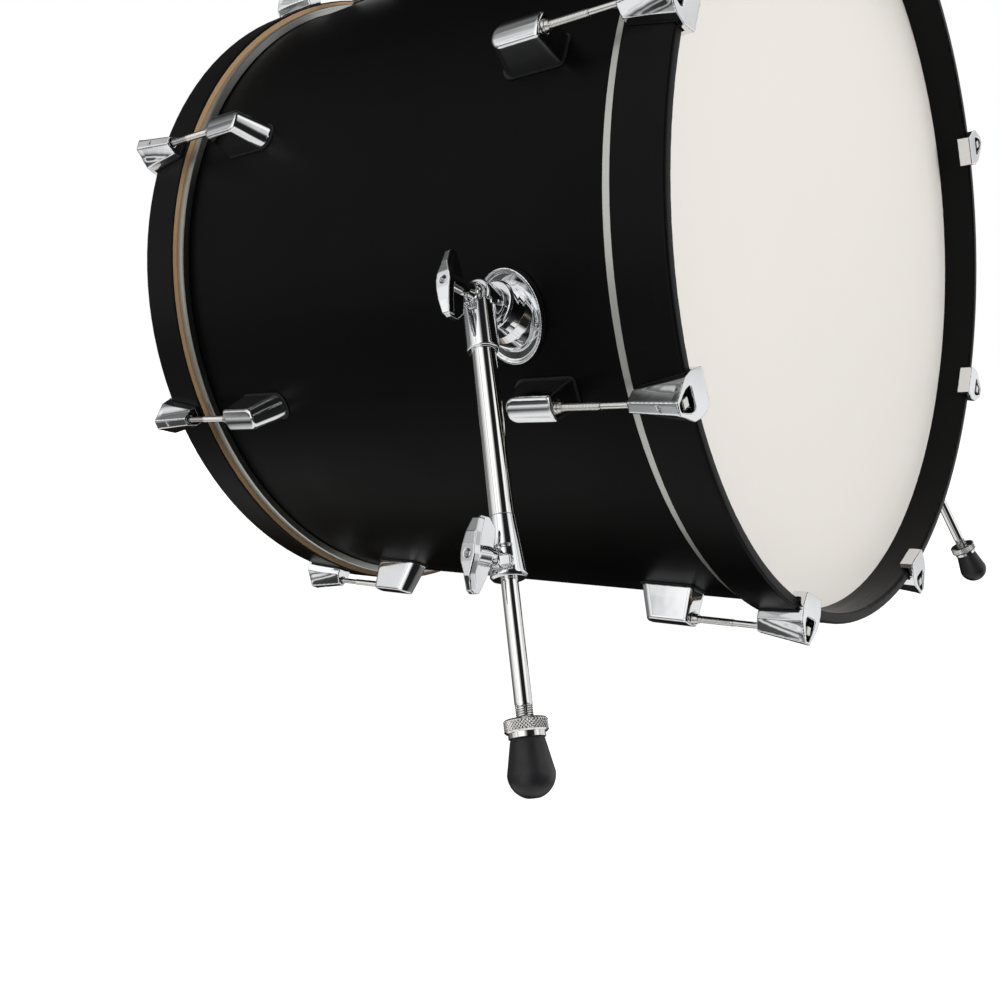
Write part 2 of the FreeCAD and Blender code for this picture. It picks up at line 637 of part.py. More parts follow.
def make_inner_rod():
    """Rod in the tube; below the lock nut it necks down to a spike inside the rubber."""
    reach = leg_reach()
    tip = reach + FOOT_BALL_R - SPIKE_BACK
    shoulder = reach - FOOT_TRAVEL + 1.5
    return spun_z([
        (0, -ROD_TOP), (BORE_ROD_R - ROD_CHAMFER, -ROD_TOP), (BORE_ROD_R, -ROD_TOP - ROD_CHAMFER),
        (BORE_ROD_R, -shoulder), (SPIKE_R, -shoulder - 1.7), (SPIKE_R, -tip + 4.5), (0.6, -tip), (0, -tip),
    ])


def make_rubber_foot():
    reach = leg_reach()
    top = -reach + FOOT_LENGTH
    outline = [Vector(0, 0, top), Vector(FOOT_NECK_R - 0.6, 0, top), Vector(FOOT_NECK_R, 0, top - 0.6)]
    shoulder = Vector(FOOT_BALL_R, 0, -reach)
    low = Vector(0, 0, -reach - FOOT_BALL_R)
    side = FOOT_BALL_R / math.sqrt(2)
    edges = [Part.LineSegment(a, b).toShape() for a, b in zip(outline, outline[1:] + [shoulder])]
    edges.append(Part.Arc(shoulder, Vector(side, 0, -reach - side), low).toShape())
    edges.append(Part.LineSegment(low, outline[0]).toShape())
    foot = Part.Face(Part.Wire(edges)).revolve(ORIGIN, Z_AXIS, 360)
    foot = foot.cut(rod_z(BORE_ROD_R + FIT, -reach - 3.5, top + 1))
    return foot.cut(rod_z(SPIKE_R + 0.3, -reach - FOOT_BALL_R - 1, -reach))


def make_lock_nut():
    low = -leg_reach() + FOOT_LENGTH + 0.3
    neck = low + LOCK_NECK_T
    top = neck + LOCK_T
    return spun_z([
        (BORE_ROD_R + FIT, low), (LOCK_R - 2.0, low), (LOCK_R - 2.0, neck), (LOCK_R - 0.9, neck),
        (LOCK_R, neck + 0.9), (LOCK_R, top - 0.9), (LOCK_R - 0.9, top), (BORE_ROD_R + FIT, top),
    ])


# ---- assembly ---------------------------------------------------------------------
def build():
    nodes = {}
    inner = SHELL_R - SHELL_WALL - 0.1
    nodes["shell"] = [make_shell()]
    nodes["vent_grommet"] = [make_vent_grommet()]
    film = make_head_film()
    head_ring = make_head_ring()
    hoop = make_hoop()
    for side, front in (("front", True), ("batter", False)):
        for name, shape in (("head_film", film), ("head_ring", head_ring), ("hoop", hoop)):
            nodes[side + "_" + name] = [flip_y(shape) if front else shape]
        nodes[side + "_claws"] = all_round(make_claw(), front)
        nodes[side + "_lugs"] = all_round(make_lug(), front)
        for index, rod in enumerate(all_round(make_tension_rod(), front)):
            nodes["%s_tension_rod_%d" % (side, index + 1)] = [rod]

    def both_sides(shape):
        return all_round(shape) + all_round(shape, front=True)

    nodes["claw_pads"] = both_sides(make_claw_pad())
    nodes["lug_pads"] = both_sides(make_lug_pad())
    nodes["swivel_nuts"] = both_sides(make_swivel_nut())
    nodes["rod_washers"] = both_sides(make_rod_washer())
    nodes["lug_screws"] = []
    nodes["lug_screw_washers"] = []
    for y in LUG_SCREW_Y:
        nodes["lug_screws"] += both_sides(inside_screw(inner, LUG_SCREW_REACH, y))
        nodes["lug_screw_washers"] += both_sides(inside_washer(inner, y))

    seat = inner - SHELL_R
    screws = [moved(inside_screw(seat, SPUR_SCREW_REACH), place) for place in spur_screw_places()]
    washers = [moved(inside_washer(seat), place) for place in spur_screw_places()]
    pad = make_spur_pad()
    nodes["spur_screws"] = screws + [flip_x(shape) for shape in screws]
    nodes["spur_screw_washers"] = washers + [flip_x(shape) for shape in washers]
    nodes["spur_pads"] = [pad, flip_x(pad)]

    frame = spur_frames()[1]
    base = make_spur_base()
    leg_parts = {
        "spur_leg_casting": make_leg_casting(),
        "spur_outer_tube": make_outer_tube(),
        "spur_clamp_collar": make_clamp_collar(),
        "spur_clamp_bolt": make_clamp_bolt(),
        "spur_clamp_wing": make_clamp_wing(),
        "spur_pivot_wing_bolt": make_pivot_wing(),
        "spur_inner_rod": make_inner_rod(),
        "spur_lock_nut": make_lock_nut(),
        "spur_rubber_foot": make_rubber_foot(),
    }
    for side in ("right", "left"):
        nodes[side + "_spur_base"] = [base if side == "right" else flip_x(base)]
        for name, shape in leg_parts.items():
            placed = moved(shape, frame)
            nodes[side + "_" + name] = [placed if side == "right" else flip_x(placed)]
    return nodes


def stand_up(nodes):
    """Tip the drum back, then put the centre of its box's underside at the origin."""
    lean = Placement(ORIGIN, Rotation(X_AXIS, -TILT))
    stood = {name: [moved(shape, lean) for shape in shapes] for name, shapes in nodes.items()}
    box = FreeCAD.BoundBox()
    for shapes in stood.values():
        for shape in shapes:
            box.add(shape.optimalBoundingBox(False))
    home = Placement(Vector(-box.Center.x, -box.Center.y, -box.ZMin), Rotation())
    return {name: [moved(shape, home) for shape in shapes] for name, shapes in stood.items()}


os.makedirs("parts", exist_ok=True)
for name, shapes in stand_up(build()).items():
    whole = shapes[0] if len(shapes) == 1 else Part.makeCompound(shapes)
    whole.exportStep("parts/%s.step" % name)
    print(name, len(whole.Solids), round(whole.Volume / 1000, 2), whole.isValid())
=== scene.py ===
import json
import math

import bmesh
import bpy
import numpy as np
from mathutils import Matrix, Vector

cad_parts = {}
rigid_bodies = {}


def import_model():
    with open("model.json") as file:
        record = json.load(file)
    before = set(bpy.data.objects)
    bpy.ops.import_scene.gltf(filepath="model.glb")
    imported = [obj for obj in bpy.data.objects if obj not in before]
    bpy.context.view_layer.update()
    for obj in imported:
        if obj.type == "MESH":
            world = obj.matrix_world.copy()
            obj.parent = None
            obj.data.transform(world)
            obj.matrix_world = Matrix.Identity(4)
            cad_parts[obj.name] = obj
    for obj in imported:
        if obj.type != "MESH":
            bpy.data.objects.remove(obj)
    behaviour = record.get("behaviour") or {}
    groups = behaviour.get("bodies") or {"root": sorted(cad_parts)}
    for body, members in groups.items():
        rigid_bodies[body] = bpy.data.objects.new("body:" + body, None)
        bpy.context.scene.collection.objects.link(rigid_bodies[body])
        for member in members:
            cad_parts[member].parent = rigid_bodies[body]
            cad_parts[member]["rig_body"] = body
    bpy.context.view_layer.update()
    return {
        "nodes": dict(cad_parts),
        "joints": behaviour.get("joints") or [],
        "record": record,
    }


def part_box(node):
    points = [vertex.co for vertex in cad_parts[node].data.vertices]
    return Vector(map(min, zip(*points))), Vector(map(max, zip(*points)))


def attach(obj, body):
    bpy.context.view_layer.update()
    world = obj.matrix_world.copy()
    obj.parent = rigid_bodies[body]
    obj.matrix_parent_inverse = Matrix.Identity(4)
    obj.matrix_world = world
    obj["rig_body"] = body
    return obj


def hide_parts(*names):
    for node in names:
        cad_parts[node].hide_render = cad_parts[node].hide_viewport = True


# Looks of a 22 x 18 inch bass drum on its two spurs.  Metres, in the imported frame.

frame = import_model()

SIDES = ("right", "left")
ENDS = ("front", "batter")
STATIONS = range(1, 9)
MM = 0.001

# ---- the drum's own axes, read from the frame --------------------------------------
JOINTS = {joint["name"]: joint for joint in frame["joints"]}
AXIS = Vector(JOINTS["batter_rod_1_turn"]["axis"]).normalized()
LEAN = math.atan2(-AXIS.z, AXIS.y)


def drum_centre():
    low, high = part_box("shell")
    return (low + high) / 2


CENTRE = drum_centre()


def points_of(node):
    mesh = frame["nodes"][node].data
    points = np.zeros(len(mesh.vertices) * 3)
    mesh.vertices.foreach_get("co", points)
    return points.reshape(-1, 3)


# ---- material helpers --------------------------------------------------------------
class Shader:
    """A material with one principled shader and short calls to wire nodes to it."""

    def __init__(self, name, color, metallic=0.0, roughness=0.5):
        self.material = bpy.data.materials.new(name)
        self.material.use_nodes = True
        self.tree = self.material.node_tree
        self.tree.nodes.clear()
        self.out = self.node("ShaderNodeOutputMaterial")
        self.bsdf = self.node("ShaderNodeBsdfPrincipled")
        self.tree.links.new(self.bsdf.outputs["BSDF"], self.out.inputs["Surface"])
        self.set("Base Color", (*color, 1.0))
        self.set("Metallic", metallic)
        self.set("Roughness", roughness)
        self.height = None

    def node(self, kind, **settings):
        node = self.tree.nodes.new(kind)
        for key, value in settings.items():
            setattr(node, key, value)
        return node

    def set(self, socket, value):
        self.bsdf.inputs[socket].default_value = value

    def link(self, output, target):
        self.tree.links.new(output, target)

    def math(self, operation, a, b=None, clamp=False):
        node = self.node("ShaderNodeMath", operation=operation, use_clamp=clamp)
        for index, value in enumerate((a, b)):
            if value is None:
                continue
            if isinstance(value, (int, float)):
                node.inputs[index].default_value = value
            else:
                self.link(value, node.inputs[index])
        return node.outputs[0]

    def place(self):
        """Object coordinates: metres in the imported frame, fixed to the piece."""
        return self.node("ShaderNodeTexCoord").outputs["Object"]

    def drum_place(self):
        """Metres from the drum's centre with Y along its axis."""
        mapping = self.node("ShaderNodeMapping", vector_type="POINT")
        turn = Matrix.Rotation(LEAN, 3, "X")
        mapping.inputs["Rotation"].default_value = (LEAN, 0, 0)
        mapping.inputs["Location"].default_value = -(turn @ CENTRE)
        self.link(self.place(), mapping.inputs["Vector"])
        return mapping.outputs[0]

    def noise(self, vector, scale, detail=3.0, rough=0.5):
        node = self.node("ShaderNodeTexNoise")
        node.inputs["Scale"].default_value = scale
        node.inputs["Detail"].default_value = detail
        node.inputs["Roughness"].default_value = rough
        self.link(vector, node.inputs["Vector"])
        return node.outputs["Fac"]

    def stretch(self, vector, scale):
        mapping = self.node("ShaderNodeMapping")
        mapping.inputs["Scale"].default_value = scale
        self.link(vector, mapping.inputs["Vector"])
        return mapping.outputs[0]

    def ramp(self, value, low, high, target):
        """Sends a noise, which is mostly from 0.3 to 0.7, to a socket as low to high."""
        node = self.node("ShaderNodeMapRange")
        node.inputs["From Min"].default_value = 0.3
        node.inputs["From Max"].default_value = 0.7
        node.inputs["To Min"].default_value = low
        node.inputs["To Max"].default_value = high
        self.link(value, node.inputs["Value"])
        self.link(node.outputs["Result"], self.bsdf.inputs[target])

    def colors(self, value, low, high):
        node = self.node("ShaderNodeMix", data_type="RGBA")
        node.inputs["A"].default_value = (*low, 1)
        node.inputs["B"].default_value = (*high, 1)
        self.link(value, node.inputs["Factor"])
        self.link(node.outputs["Result"], self.bsdf.inputs["Base Color"])
        return node

    def bump(self, value, distance, strength=1.0):
        node = self.node("ShaderNodeBump")
        node.inputs["Distance"].default_value = distance
        node.inputs["Strength"].default_value = strength
        self.link(value, node.inputs["Height"])
        if self.height is not None:
            self.link(self.height, node.inputs["Normal"])
        self.height = node.outputs["Normal"]
        self.link(self.height, self.bsdf.inputs["Normal"])


ARC_PER_RADIAN = 0.28                # near the shell's radius, so that grain keeps its shape


def round_coordinates(shader):
    """(angle, along, radius) about the drum's axis, as a vector; angle in metres of arc."""
    place = shader.drum_place()
    split = shader.node("ShaderNodeSeparateXYZ")
    shader.link(place, split.inputs[0])
    x, y, z = split.outputs
    angle = shader.math("ARCTAN2", x, z)
    x_squared = shader.math("MULTIPLY", x, x)
    z_squared = shader.math("MULTIPLY", z, z)
    radius = shader.math("SQRT", shader.math("ADD", x_squared, z_squared))
    join = shader.node("ShaderNodeCombineXYZ")
    shader.link(shader.math("MULTIPLY", angle, ARC_PER_RADIAN), join.inputs[0])
    shader.link(y, join.inputs[1])
    shader.link(radius, join.inputs[2])
    return join.outputs[0]


# ---- materials ---------------------------------------------------------------------
SHELL_BLACK = (0.0020, 0.0020, 0.0021)
HOOP_BLACK = (0.0030, 0.0030, 0.0031)
WOOD_DARK = (0.27, 0.165, 0.085)
WOOD_LIGHT = (0.46, 0.31, 0.18)
WOOD_REACH = 0.15 * MM               # how far past the hoop's rear edge counts as that edge


def satin_shell():
    s = Shader("satin_black_shell", SHELL_BLACK, 0.0, 0.42)
    s.set("Specular IOR Level", 0.07)
    place = round_coordinates(s)
    s.ramp(s.noise(place, 9.0, 4.0), 0.36, 0.46, "Roughness")
    s.bump(s.noise(place, 1400.0, 2.0), 0.00002, 0.35)
    s.bump(s.noise(place, 60.0, 2.0), 0.0001, 0.12)
    return s.material


def hoop_rear():
    """Distance from the drum's middle to a hoop's edge beside the shell."""
    points = points_of("batter_hoop") - np.array(CENTRE)
    return (points @ np.array(AXIS)).min()


def satin_hoop():
    """Satin black, with bare wood on the edge that faces the shell."""
    s = Shader("satin_black_hoop", HOOP_BLACK, 0.0, 0.36)
    s.set("Specular IOR Level", 0.09)
    place = round_coordinates(s)
    grain = s.noise(s.stretch(place, (14.0, 900.0, 900.0)), 1.0, 4.0, 0.6)
    s.ramp(grain, 0.30, 0.42, "Roughness")
    split = s.node("ShaderNodeSeparateXYZ")
    s.link(s.drum_place(), split.inputs[0])
    along = s.math("ABSOLUTE", split.outputs[1])
    inner_edge = s.math("LESS_THAN", along, hoop_rear() + WOOD_REACH)
    wood = s.colors(grain, WOOD_DARK, WOOD_LIGHT)
    paint = s.colors(inner_edge, HOOP_BLACK, WOOD_LIGHT)
    s.link(wood.outputs["Result"], paint.inputs["B"])
    s.bump(grain, 0.00004, 0.25)
    return s.material


def coated_head():
    s = Shader("coated_warm_white_head", (0.70, 0.655, 0.605), 0.0, 0.62)
    s.set("Specular IOR Level", 0.3)
    place = s.drum_place()
    s.colors(s.noise(place, 5.0, 4.0), (0.70, 0.668, 0.630), (0.715, 0.682, 0.644))
    s.ramp(s.noise(place, 30.0, 3.0), 0.55, 0.7, "Roughness")
    s.bump(s.noise(place, 2600.0, 2.0), 0.00003, 0.4)
    return s.material


def satin_aluminium():
    s = Shader("satin_aluminium_ring", (0.55, 0.56, 0.53), 1.0, 0.38)
    place = round_coordinates(s)
    grain = s.noise(s.stretch(place, (6.0, 3000.0, 3000.0)), 1.0, 3.0, 0.6)
    s.ramp(grain, 0.32, 0.48, "Roughness")
    s.bump(grain, 0.00002, 0.3)
    return s.material


def chrome(name, color, low, high, waviness):
    """Polished metal whose roughness runs from low to high, slightly wavy by waviness metres."""
    s = Shader(name, color, 1.0, low)
    place = s.place()
    s.ramp(s.noise(place, 45.0, 5.0, 0.6), low, high, "Roughness")
    s.bump(s.noise(place, 70.0, 1.0), waviness, 0.35)
    return s.material


def plated_steel():
    s = Shader("nickel_plated_steel", (0.70, 0.69, 0.67), 1.0, 0.22)
    place = s.place()
    s.colors(s.noise(place, 40.0, 3.0), (0.66, 0.65, 0.62), (0.78, 0.77, 0.75))
    s.ramp(s.noise(place, 90.0, 3.0), 0.18, 0.28, "Roughness")
    return s.material


def moulded_rubber(name, color, rough):
    s = Shader(name, color, 0.0, rough)
    s.set("Specular IOR Level", 0.4)
    place = s.place()
    darker = tuple(0.8 * c for c in color)
    lighter = tuple(1.25 * c for c in color)
    s.colors(s.noise(place, 60.0, 4.0), darker, lighter)
    s.ramp(s.noise(place, 200.0, 4.0), rough - 0.08, rough + 0.1, "Roughness")
    s.bump(s.noise(place, 1500.0, 3.0), 0.00005, 0.5)
    return s.material


MATERIALS = {
    "shell_satin_black": satin_shell(),
    "hoop_satin_black": satin_hoop(),
    "head_warm_white": coated_head(),
    "head_ring_aluminium": satin_aluminium(),
    "chrome": chrome("cast_chrome", (0.80, 0.81, 0.82), 0.035, 0.09, 0.00012),
    "tube_chrome": chrome("tube_chrome", (0.82, 0.82, 0.81), 0.03, 0.07, 0.00002),
    "rod_steel": plated_steel(),
    "knurled_chrome": chrome("knurled_chrome", (0.80, 0.79, 0.77), 0.08, 0.14, 0.00002),
    "pad_black": moulded_rubber("gasket_rubber", (0.012, 0.012, 0.012), 0.6),
    "foot_rubber": moulded_rubber("foot_rubber", (0.011, 0.011, 0.012), 0.40),
    "zinc_screw": chrome("zinc_plate", (0.5, 0.5, 0.48), 0.25, 0.4, 0.00002),
    "vent_chrome": chrome("vent_chrome", (0.75, 0.75, 0.75), 0.08, 0.14, 0.00002),
}


def shade_smooth(mesh, edge_deg=38.0):
    """One normal where faces meet below edge_deg, so that curved faces shade as curves."""
    limit = math.cos(math.radians(edge_deg))
    count = len(mesh.loops)
    corners = np.zeros(count, np.int32)
    mesh.loops.foreach_get("vertex_index", corners)
    points = np.zeros(len(mesh.vertices) * 3)
    mesh.vertices.foreach_get("co", points)
    points = points.reshape(-1, 3)[corners]
    sizes = np.zeros(len(mesh.polygons), np.int32)
    mesh.polygons.foreach_get("loop_total", sizes)
    flat = np.zeros(len(mesh.polygons) * 3)
    mesh.polygons.foreach_get("normal", flat)
    faces = np.repeat(flat.reshape(-1, 3), sizes, axis=0)
    areas = np.zeros(len(mesh.polygons))
    mesh.polygons.foreach_get("area", areas)
    weight = np.repeat(np.sqrt(areas) / sizes, sizes) + 1e-12
    places = np.round(points * 2e6).astype(np.int64)
    order = np.lexsort(places.T)
    change = np.any(np.diff(places[order], axis=0) != 0, axis=1)
    starts = np.concatenate([[0], np.nonzero(change)[0] + 1, [count]])
    normals = np.zeros((count, 3))
    for length in np.unique(np.diff(starts)):
        firsts = starts[:-1][np.diff(starts) == length]
        group = order[firsts[:, None] + np.arange(length)]
        near = np.einsum("gik,gjk->gij", faces[group], faces[group]) > limit
        normals[group] = np.einsum("gij,gj,gjk->gik", near, weight[group], faces[group])
    normals /= np.maximum(np.linalg.norm(normals, axis=1), 1e-20)[:, None]
    mesh.polygons.foreach_set("use_smooth", np.ones(len(mesh.polygons), bool))
    mesh.normals_split_custom_set(normals)


def dress_nodes():
    for part in frame["record"]["subparts"]:
        node = frame["nodes"][part["node"]]
        node.data.materials.clear()
        node.data.materials.append(MATERIALS[part["material_slot"]])


dress_nodes()
for each in frame["nodes"].values():
    shade_smooth(each.data)


# ---- pieces built in more detail than the frame's nodes -----------------------------
SLOT_OF = {part["node"]: part["material_slot"] for part in frame["record"]["subparts"]}


def stands_for(piece, node):
    """Finishes a piece: it takes the node's place, body and finish."""
    source = frame["nodes"][node]
    piece.data.materials.clear()
    piece.data.materials.append(MATERIALS[SLOT_OF[node]])
    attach(piece, source["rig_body"])
    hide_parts(node)


def welded_copy(node):
    """An editable copy of a node's mesh with its doubled points joined."""
    shape = bmesh.new()
    shape.from_mesh(frame["nodes"][node].data)
    bmesh.ops.remove_doubles(shape, verts=shape.verts, dist=0.001 * MM)
    return shape


def piece_from(name, shape):
    mesh = bpy.data.meshes.new(name)
    shape.to_mesh(mesh)
    shape.free()
    piece = bpy.data.objects.new(name, mesh)
    bpy.context.scene.collection.objects.link(piece)
    return piece


STATION_STEP = math.pi / 4


def shaped_round_drum(mesh, shape):
    """Moves points in or out of the drum by shape(across, along, radius), all in metres.

    across is from the nearest tension station's middle, and along is from the drum's."""
    points = np.zeros(len(mesh.vertices) * 3)
    mesh.vertices.foreach_get("co", points)
    points = points.reshape(-1, 3)
    offsets = points - np.array(CENTRE)
    axis = np.array(AXIS)
    along = offsets @ axis
    flat = offsets - np.outer(along, axis)
    radius = np.linalg.norm(flat, axis=1)
    up = np.cross(np.array([1.0, 0.0, 0.0]), axis)
    turn = np.arctan2(flat[:, 0], flat @ up) / STATION_STEP - 0.5
    across = np.sin((turn - np.round(turn)) * STATION_STEP) * radius
    out = shape(across, along, radius)
    points += flat / radius[:, None] * out[:, None]
    mesh.vertices.foreach_set("co", points.ravel())
    mesh.update()


SHELL_R = 279.4 * MM
FLANGE_DROP = math.radians(11.7)     # flange's middle below the drum's, round the shell
FLANGE_ALONG = -131.0 * MM
FLANGE_UP = 1.2 * MM
FLANGE_TALL = 31.4 * MM
FLANGE_WIDE = 26.0 * MM
FLANGE_RISE = 5.0 * MM
FLANGE_FLOOR = 1.6 * MM
FLANGE_DISH_R = 110.0 * MM
WALL_OUT = 0.955                     # shares of the oval's reach
WALL_IN = 0.89
DISH_FLOOR = 2.5 * MM
DISH_DEPTH = 1.1 * MM
DISH_REACH = 0.55 * MM               # a point this near the CAD's dish belongs to it
LUG_ROOT_R = 290 * MM                # where the crown of a lug begins, and its height
LUG_RISE = 16 * MM
LUG_HALF = 9.2 * MM
LUG_CROWN = 1.5 * MM
CLAW_ROOT_R = 296 * MM               # where the scoops of a claw begin, and their full rise
CLAW_RISE = 4 * MM
CLAW_RIDGE = 2.5 * MM                # half width of the ridge between the scoops
CLAW_SLOPE = 9.5 * MM
CLAW_POCKET = 262 * MM               # from the drum's middle to the pocket, which stays plain
CLAW_FADE = 6 * MM
CLAW_SCOOP = 1.5 * MM


def lug_crown(across, along, radius):
    """Bends a lug's outer face down towards its two sides."""
    rise = np.clip((radius - LUG_ROOT_R) / LUG_RISE, 0, 1)
    return -LUG_CROWN * rise * (across / LUG_HALF) ** 2


def claw_scoop(across, along, radius):
    """Hollows the two slopes beside a claw's ridge."""
    rise = np.clip((radius - CLAW_ROOT_R) / CLAW_RISE, 0, 1)
    slope = np.clip((np.abs(across) - CLAW_RIDGE) / CLAW_SLOPE, 0, 1)
    ends = np.clip((CLAW_POCKET - np.abs(along)) / CLAW_FADE, 0, 1)
    return -CLAW_SCOOP * rise * ends * np.sin(math.pi * slope) ** 2


def flange_frame(side):
    """Middle of a spur's flange on the shell, and its directions out, along the drum and down."""
    axis = np.array(AXIS)
    up = np.cross(np.array([1.0, 0.0, 0.0]), axis)
    outward = -1.0 if side == "right" else 1.0
    out = outward * math.cos(FLANGE_DROP) * np.array([1.0, 0.0, 0.0]) - math.sin(FLANGE_DROP) * up
    down = np.cross(axis, out) * outward
    seat = np.array(CENTRE) + out * SHELL_R + axis * FLANGE_ALONG
    return seat + FLANGE_UP * -down, out, axis, down


def dish_flange(mesh, side):
    """Leaves the flange's rim as a round bead, with a short wall and a shallow dish inside it."""
    points = np.zeros(len(mesh.vertices) * 3)
    mesh.vertices.foreach_get("co", points)
    points = points.reshape(-1, 3)
    seat, out, axis, down = flange_frame(side)
    offsets = points - seat
    along, low, rise = offsets @ axis, offsets @ down, offsets @ out
    reach = np.sqrt((along / FLANGE_WIDE) ** 2 + (low / FLANGE_TALL) ** 2)
    cad = FLANGE_FLOOR + (along ** 2 + low ** 2) / (2 * FLANGE_DISH_R)
    cad = np.minimum(cad, FLANGE_RISE)
    wall = np.clip((reach - WALL_IN) / (WALL_OUT - WALL_IN), 0, 1)
    shallow = DISH_FLOOR + DISH_DEPTH * np.minimum(reach / WALL_IN, 1.0) ** 2
    wanted = shallow + (FLANGE_RISE - shallow) * wall ** 2 * (3 - 2 * wall)
    dish = (reach < WALL_OUT) & (np.abs(rise - cad) < DISH_REACH)
    points += np.where(dish, wanted - rise, 0.0)[:, None] * out
    mesh.vertices.foreach_set("co", points.ravel())
    mesh.update()


def soften(node, grain, passes, shape=None):
    """Gives a casting the rounded edges and slightly crowned faces that polishing leaves."""
    piece = piece_from(node + "_cast", welded_copy(node))
    remesh = piece.modifiers.new("fine_mesh", "REMESH")
    remesh.mode = "VOXEL"
    remesh.voxel_size = grain
    remesh.use_smooth_shade = True
    smooth = piece.modifiers.new("polish", "SMOOTH")
    smooth.factor = 0.5
    smooth.iterations = passes
    done = piece.evaluated_get(bpy.context.evaluated_depsgraph_get())
    mesh = bpy.data.meshes.new_from_object(done)
    piece.modifiers.clear()
    piece.data = mesh
    if shape:
        shape(mesh)
    stands_for(piece, node)


def along_and_across(points, at, axis):
    """Distance along an axis, and from it, of points given as rows."""
    offsets = points - np.array(at)
    along = offsets @ np.array(axis)
    across = np.linalg.norm(offsets - np.outer(along, np.array(axis)), axis=1)
    return along, across


def add_tube(shape, at, axis, count, stations, radius):
    """Adds a round surface: radius(angle, station) at count angles and at each station."""
    axis = Vector(axis).normalized()
    side = axis.orthogonal().normalized()
    other = axis.cross(side)
    rows = []
    for station in stations:
        row = []
        for k in range(count):
            angle = 2 * math.pi * k / count
            out = side * math.cos(angle) + other * math.sin(angle)
            point = Vector(at) + axis * station + out * radius(angle, station)
            row.append(shape.verts.new(point))
        rows.append(row)
    for low, high in zip(rows, rows[1:]):
        for k in range(count):
            after = (k + 1) % count
            face = shape.faces.new((low[k], low[after], high[after], high[k]))
            face.smooth = True
    return rows


def wave(value):
    """Triangle wave from 0 to 1 with a period of 1."""
    return abs(2.0 * (value % 1.0) - 1.0)


ROD_R = 2.75 * MM
ROD_THREAD = 40 * MM                 # length, pitch and depth of a tension rod's thread
ROD_PITCH = 1.06 * MM
ROD_THREAD_DEEP = 0.28 * MM
SPUR_ROD_R = 5.0 * MM
SPUR_ROD_THREAD = 8.5 * MM           # bare thread above the lock nut
SPUR_ROD_PITCH = 1.25 * MM
SPUR_ROD_THREAD_DEEP = 0.55 * MM
STEPS_PER_PITCH = 6


def cut_thread(node, joint, start, end, radius, pitch, depth, count):
    """Gives a node's plain cylinder a screw thread from start to end along its joint's axis."""
    at, axis = Vector(joint["at"]), Vector(joint["axis"])
    shape = welded_copy(node)
    for station in (start, end):
        everything = shape.verts[:] + shape.edges[:] + shape.faces[:]
        cut = at + axis * station
        bmesh.ops.bisect_plane(shape, geom=everything, dist=1e-9, plane_co=cut, plane_no=axis)
    gone = [
        face for face in shape.faces
        if start < (face.calc_center_median() - at).dot(axis) < end
    ]
    bmesh.ops.delete(shape, geom=gone, context="FACES")

    def thread(angle, station):
        runs = min(1.0, (station - start) / (2 * pitch), (end - station) / (2 * pitch))
        turn = station / pitch - angle / (2 * math.pi)
        return radius - depth * max(runs, 0.0) * wave(turn)

    steps = int((end - start) / pitch * STEPS_PER_PITCH)
    stations = [start + (end - start) * k / steps for k in range(steps + 1)]
    add_tube(shape, at, axis, count, stations, thread)
    piece = piece_from(node + "_threaded", shape)
    shade_smooth(piece.data)
    stands_for(piece, node)


def thread_tension_rods():
    for end in ENDS:
        for k in STATIONS:
            node = "%s_tension_rod_%d" % (end, k)
            joint = placed_joint("%s_rod_%d_turn" % (end, k))
            along, across = along_and_across(points_of(node), joint["at"], joint["axis"])
            tip = along[np.abs(across - ROD_R) < 0.02 * MM].max()
            start = tip - ROD_THREAD
            cut_thread(node, joint, start, tip, ROD_R, ROD_PITCH, ROD_THREAD_DEEP, 20)


def thread_inner_rods():
    for side in SIDES:
        joint = placed_joint(side + "_lock_nut_turn")
        points = points_of(side + "_spur_lock_nut")
        nut = along_and_across(points, joint["at"], joint["axis"])[0]
        start = nut.min() - SPUR_ROD_THREAD
        end = nut.max() - 1 * MM
        cut_thread(
            side + "_spur_inner_rod", joint, start, end,
            SPUR_ROD_R, SPUR_ROD_PITCH, SPUR_ROD_THREAD_DEEP, 32,
        )


def placed_joint(name):
    joint = JOINTS[name]
    return {"at": joint["pos_m"], "axis": joint["axis"]}


KNURL_PITCH = 1.9 * MM
KNURL_DEEP = 0.55 * MM
KNURL_FADE = 0.4 * MM
KNURL_ROWS = 40
NUT_BEVEL = 0.9 * MM
NUT_NECK = 2.8 * MM                  # height of the plain neck, and how far it is set in
NUT_NECK_IN = 2.0 * MM
TINY = 1e-7


